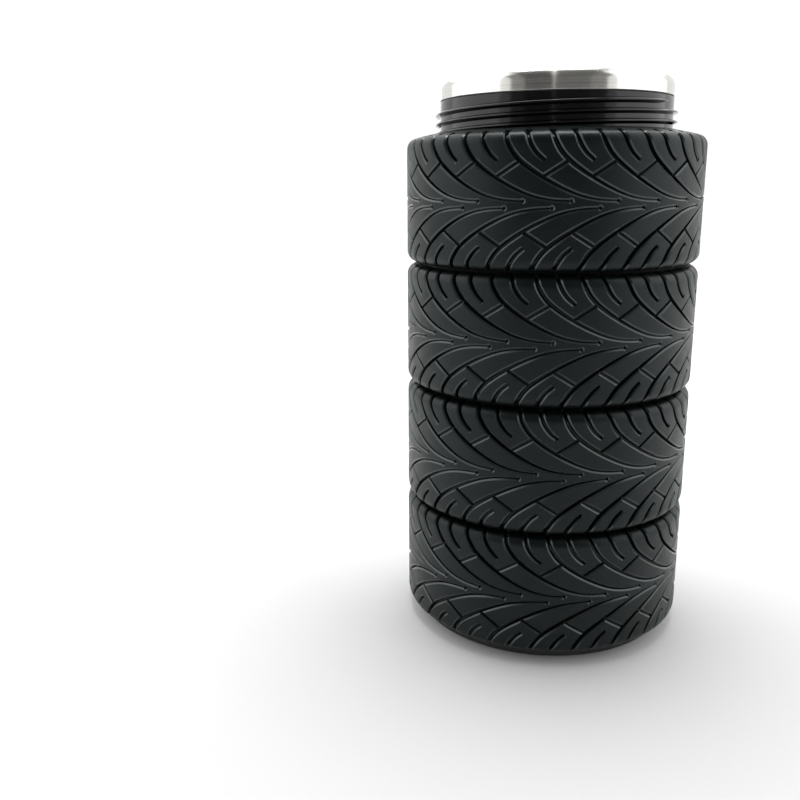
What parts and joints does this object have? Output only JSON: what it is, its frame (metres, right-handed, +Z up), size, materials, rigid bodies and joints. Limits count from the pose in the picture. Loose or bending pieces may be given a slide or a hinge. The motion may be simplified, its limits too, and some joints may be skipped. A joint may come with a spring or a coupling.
{
  "type": "tumbler barrel",
  "caption": "Open cylindrical tumbler barrel with a steel liner, screw-threaded neck and a stack of tyre-tread rubber rings that turn on its core.",
  "frame": {"origin": "centre of the foot pad's underside, where the barrel stands", "axes": "+Z up along the barrel's axis towards the open mouth; the first thread ridge runs out at the top on the -Y side, 56 degrees towards +X"},
  "size_m": [0.088, 0.088, 0.1674],
  "materials": {
    "steel": "fine brushed, circumferential",
    "neck_black": "glossy moulded black plastic",
    "tyre_rubber": "matte black rubber",
    "core_black": "matte black plastic",
    "slip_plastic": "smooth low-friction plastic",
    "seal_rubber": "soft silicone seal",
    "insulation_foam": "closed-cell foam"
  },
  "bodies": {
    "barrel": {"steel_liner": "steel", "rim_gasket": "seal_rubber", "neck_collar": "neck_black", "collar_seal": "seal_rubber", "core_tube": "core_black", "upper_slip_ring": "slip_plastic", "middle_slip_ring": "slip_plastic", "lower_slip_ring": "slip_plastic", "insulation_sleeve": "insulation_foam", "centring_ring": "seal_rubber", "liner_cushion": "seal_rubber", "insulation_disc": "insulation_foam"},
    "top_tyre_ring": {"top_tyre": "tyre_rubber", "top_hub": "slip_plastic"},
    "second_tyre_ring": {"second_tyre": "tyre_rubber", "second_hub": "slip_plastic"},
    "third_tyre_ring": {"third_tyre": "tyre_rubber", "third_hub": "slip_plastic"},
    "bottom_tyre_ring": {"bottom_tyre": "tyre_rubber", "bottom_hub": "slip_plastic"},
    "base_seal": {"base_gasket": "seal_rubber"},
    "base": {"base_cap": "core_black", "foot_pad": "tyre_rubber"}
  },
  "joints": [
    {"name": "top_tyre_turn", "type": "hinge", "parent": "barrel", "child": "top_tyre_ring", "pos_m": [0, 0, 0.13275], "axis": [0, 0, 1], "continuous": true},
    {"name": "second_tyre_turn", "type": "hinge", "parent": "barrel", "child": "second_tyre_ring", "pos_m": [0, 0, 0.09575], "axis": [0, 0, 1], "continuous": true},
    {"name": "third_tyre_turn", "type": "hinge", "parent": "barrel", "child": "third_tyre_ring", "pos_m": [0, 0, 0.05875], "axis": [0, 0, 1], "continuous": true},
    {"name": "bottom_tyre_turn", "type": "hinge", "parent": "barrel", "child": "bottom_tyre_ring", "pos_m": [0, 0, 0.02175], "axis": [0, 0, 1], "continuous": true},
    {"name": "base_travel", "type": "slide", "parent": "barrel", "child": "base_seal", "axis": [0, 0, -1], "range_m": [0, 0.0094]},
    {"name": "base_turn", "type": "hinge", "parent": "base_seal", "child": "base", "pos_m": [0, 0, 0.0037], "axis": [0, 0, -1], "range_deg": [0, 1080]}
  ],
  "couplings": [
    {"joint": "base_travel", "follows": "base_turn", "m_per_rad": 0.000493}
  ]
}
